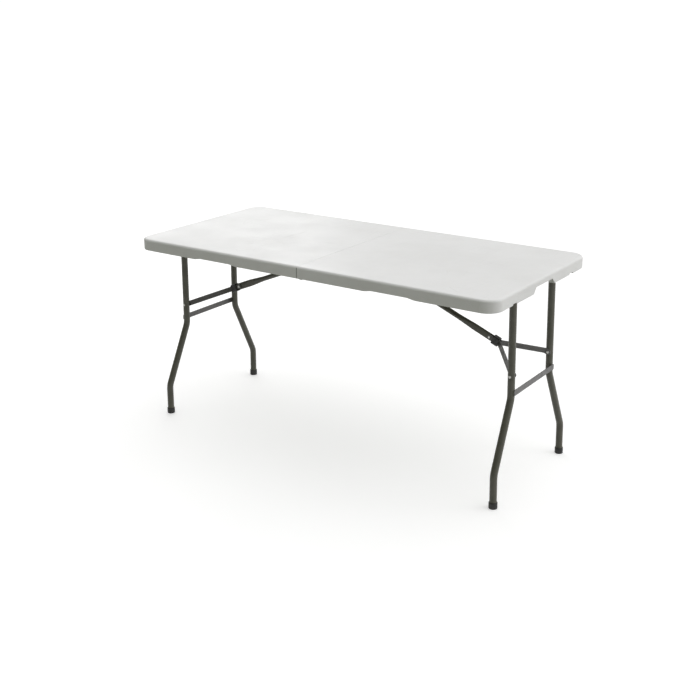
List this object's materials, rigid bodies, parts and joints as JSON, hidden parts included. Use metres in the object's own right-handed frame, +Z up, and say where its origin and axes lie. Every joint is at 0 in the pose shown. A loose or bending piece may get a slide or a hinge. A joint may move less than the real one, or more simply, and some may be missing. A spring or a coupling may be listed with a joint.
{
  "type": "folding table",
  "caption": "Long rectangular fold-in-half table with moulded top halves, bent tube legs that fold flat and braces with slide-on lock rings.",
  "frame": {"origin": "on the floor under the centre of the table, with the legs open", "axes": "+X along the table's length, towards the right half; +Y across it, from the front long side to the rear one; +Z up"},
  "size_m": [1.52, 0.71, 0.74],
  "materials": {
    "white_plastic": "fine textured blow-moulded polyethylene, satin",
    "coated_steel": "dark greenish grey powder coat",
    "coated_strip": "grey powder coat on flat strip",
    "zinc_steel": "bright zinc plated",
    "black_plastic": "black moulded plastic"
  },
  "bodies": {
    "left_half": {"left_top_panel": "white_plastic", "left_front_rail": "coated_steel", "left_rear_rail": "coated_steel", "left_rail_screws": "zinc_steel", "left_hinge_ears": "coated_steel", "left_brace_bracket": "coated_steel", "left_bracket_screws": "zinc_steel", "left_brace_pin": "zinc_steel", "hinge_pins": "zinc_steel"},
    "left_leg": {"left_leg_pivot_tube": "coated_steel", "left_pivot_plugs": "black_plastic", "left_front_leg_tube": "coated_steel", "left_rear_leg_tube": "coated_steel", "left_leg_crossbar": "coated_strip", "left_front_foot_cap": "black_plastic", "left_rear_foot_cap": "black_plastic", "left_leg_rivets": "zinc_steel"},
    "left_brace": {"left_brace_tube": "coated_steel", "left_knee_rivet": "zinc_steel"},
    "left_yoke": {"left_front_yoke_bar": "coated_strip", "left_rear_yoke_bar": "coated_strip", "left_bar_rivets": "zinc_steel"},
    "left_ring": {"left_lock_ring": "black_plastic"},
    "right_half": {"right_top_panel": "white_plastic", "right_front_rail": "coated_steel", "right_rear_rail": "coated_steel", "right_rail_screws": "zinc_steel", "right_hinge_ears": "coated_steel", "right_brace_bracket": "coated_steel", "right_bracket_screws": "zinc_steel", "right_brace_pin": "zinc_steel"},
    "right_leg": {"right_leg_pivot_tube": "coated_steel", "right_pivot_plugs": "black_plastic", "right_front_leg_tube": "coated_steel", "right_rear_leg_tube": "coated_steel", "right_leg_crossbar": "coated_strip", "right_front_foot_cap": "black_plastic", "right_rear_foot_cap": "black_plastic", "right_leg_rivets": "zinc_steel"},
    "right_brace": {"right_brace_tube": "coated_steel", "right_knee_rivet": "zinc_steel"},
    "right_yoke": {"right_front_yoke_bar": "coated_strip", "right_rear_yoke_bar": "coated_strip", "right_bar_rivets": "zinc_steel"},
    "right_ring": {"right_lock_ring": "black_plastic"}
  },
  "joints": [
    {"name": "centre_fold", "type": "hinge", "parent": "left_half", "child": "right_half", "pos_m": [0, 0, 0.6964], "axis": [0, 1, 0], "range_deg": [0, 90]},
    {"name": "left_leg_fold", "type": "hinge", "parent": "left_half", "child": "left_leg", "pos_m": [-0.72, 0, 0.712], "axis": [0, -1, 0], "range_deg": [0, 90.56]},
    {"name": "left_brace_swing", "type": "hinge", "parent": "left_half", "child": "left_brace", "pos_m": [-0.031, 0, 0.712], "axis": [0, -1, 0], "range_deg": [-22.37, 0]},
    {"name": "left_yoke_fold", "type": "hinge", "parent": "left_brace", "child": "left_yoke", "pos_m": [-0.56422, 0, 0.4931], "axis": [0, -1, 0], "range_deg": [0, 180.1]},
    {"name": "left_ring_slide", "type": "slide", "parent": "left_brace", "child": "left_ring", "axis": [0.9251, 0, 0.3798], "range_m": [0, 0.3005]},
    {"name": "right_leg_fold", "type": "hinge", "parent": "right_half", "child": "right_leg", "pos_m": [0.72, 0, 0.712], "axis": [0, 1, 0], "range_deg": [0, 90.56]},
    {"name": "right_brace_swing", "type": "hinge", "parent": "right_half", "child": "right_brace", "pos_m": [0.031, 0, 0.712], "axis": [0, 1, 0], "range_deg": [-22.37, 0]},
    {"name": "right_yoke_fold", "type": "hinge", "parent": "right_brace", "child": "right_yoke", "pos_m": [0.56422, 0, 0.4931], "axis": [0, 1, 0], "range_deg": [0, 180.1]},
    {"name": "right_ring_slide", "type": "slide", "parent": "right_brace", "child": "right_ring", "axis": [-0.9251, 0, 0.3798], "range_m": [0, 0.3005]}
  ],
  "couplings": [
    {"joint": "left_brace_swing", "follows": "left_leg_fold", "ratio": -0.24645},
    {"joint": "left_yoke_fold", "follows": "left_leg_fold", "ratio": 1.9876},
    {"joint": "left_ring_slide", "follows": "left_leg_fold", "m_per_rad": 0.1898},
    {"joint": "right_brace_swing", "follows": "right_leg_fold", "ratio": -0.24645},
    {"joint": "right_yoke_fold", "follows": "right_leg_fold", "ratio": 1.9876},
    {"joint": "right_ring_slide", "follows": "right_leg_fold", "m_per_rad": 0.1898}
  ]
}
